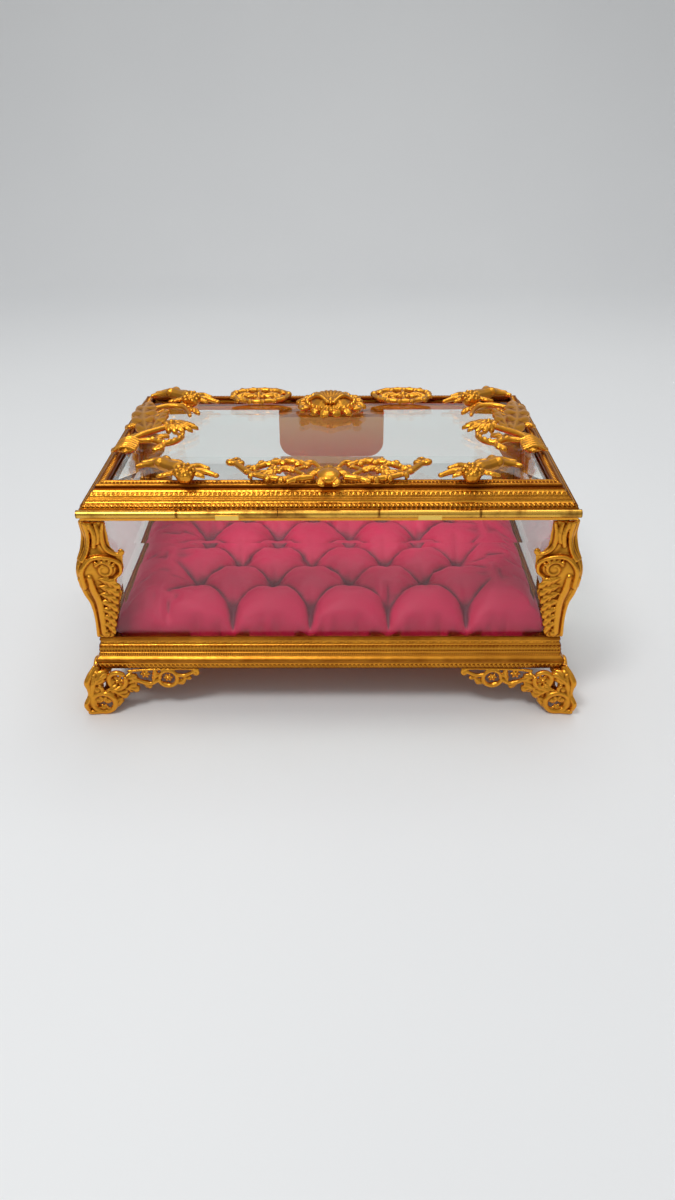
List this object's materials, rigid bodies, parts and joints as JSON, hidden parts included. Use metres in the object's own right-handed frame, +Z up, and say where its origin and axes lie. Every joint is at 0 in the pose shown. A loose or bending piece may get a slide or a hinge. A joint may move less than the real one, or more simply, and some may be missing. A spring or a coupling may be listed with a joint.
{
  "type": "jewelry box",
  "caption": "Rectangular gilt-brass casket with bevelled glass panes, a hinged glass lid with cast ornament, bracket feet and a tufted silk cushion.",
  "frame": {"origin": "on the floor under the middle of the box", "axes": "+X along the width, +Y from the hinge side to the lock side, +Z up"},
  "size_m": [0.2938, 0.1942, 0.1531],
  "materials": {
    "gilt_brass": "cast and fire-gilt",
    "hinge_brass": "drawn and polished",
    "lock_brass": "brushed",
    "bevelled_glass": "ground and polished",
    "silk": "tufted silk satin",
    "wood": "sanded"
  },
  "bodies": {
    "casket": {"bottom_board": "wood", "corner_mount_back_left": "gilt_brass", "corner_mount_back_right": "gilt_brass", "corner_mount_front_left": "gilt_brass", "corner_mount_front_right": "gilt_brass", "escutcheon": "gilt_brass", "foot_back_left": "gilt_brass", "foot_back_right": "gilt_brass", "foot_front_left": "gilt_brass", "foot_front_right": "gilt_brass", "hinge_knuckle_centre": "hinge_brass", "hinge_knuckle_left": "hinge_brass", "hinge_knuckle_right": "hinge_brass", "hinge_pin": "hinge_brass", "lock_case": "lock_brass", "lock_plate": "lock_brass", "pane_back": "bevelled_glass", "pane_front": "bevelled_glass", "pane_left": "bevelled_glass", "pane_right": "bevelled_glass", "plinth_rail_back": "gilt_brass", "plinth_rail_front": "gilt_brass", "plinth_rail_left": "gilt_brass", "plinth_rail_right": "gilt_brass", "rim_rail_back": "gilt_brass", "rim_rail_front": "gilt_brass", "rim_rail_left": "gilt_brass", "rim_rail_right": "gilt_brass", "tufted_cushion": "silk"},
    "lid": {"back_crest": "gilt_brass", "front_cartouche": "gilt_brass", "front_scroll_left": "gilt_brass", "front_scroll_right": "gilt_brass", "lid_bead_back": "gilt_brass", "lid_bead_front": "gilt_brass", "lid_bead_left": "gilt_brass", "lid_bead_right": "gilt_brass", "lid_catch": "lock_brass", "lid_glass": "bevelled_glass", "lid_knuckle_left": "hinge_brass", "lid_knuckle_right": "hinge_brass", "lid_rail_back": "gilt_brass", "lid_rail_front": "gilt_brass", "lid_rail_left": "gilt_brass", "lid_rail_right": "gilt_brass", "putto_back_left": "gilt_brass", "putto_back_right": "gilt_brass", "putto_front_left": "gilt_brass", "putto_front_right": "gilt_brass", "side_crest_left": "gilt_brass", "side_crest_right": "gilt_brass", "stop_tabs": "hinge_brass"},
    "bolt": {"lock_bolt": "lock_brass"}
  },
  "joints": [
    {"name": "lid_hinge", "type": "hinge", "parent": "casket", "child": "lid", "pos_m": [0, -0.0868, 0.1285], "axis": [1, 0, 0], "range_deg": [0, 95]},
    {"name": "bolt_slide", "type": "slide", "parent": "casket", "child": "bolt", "axis": [1, 0, 0], "range_m": [0, 0.0042]}
  ]
}
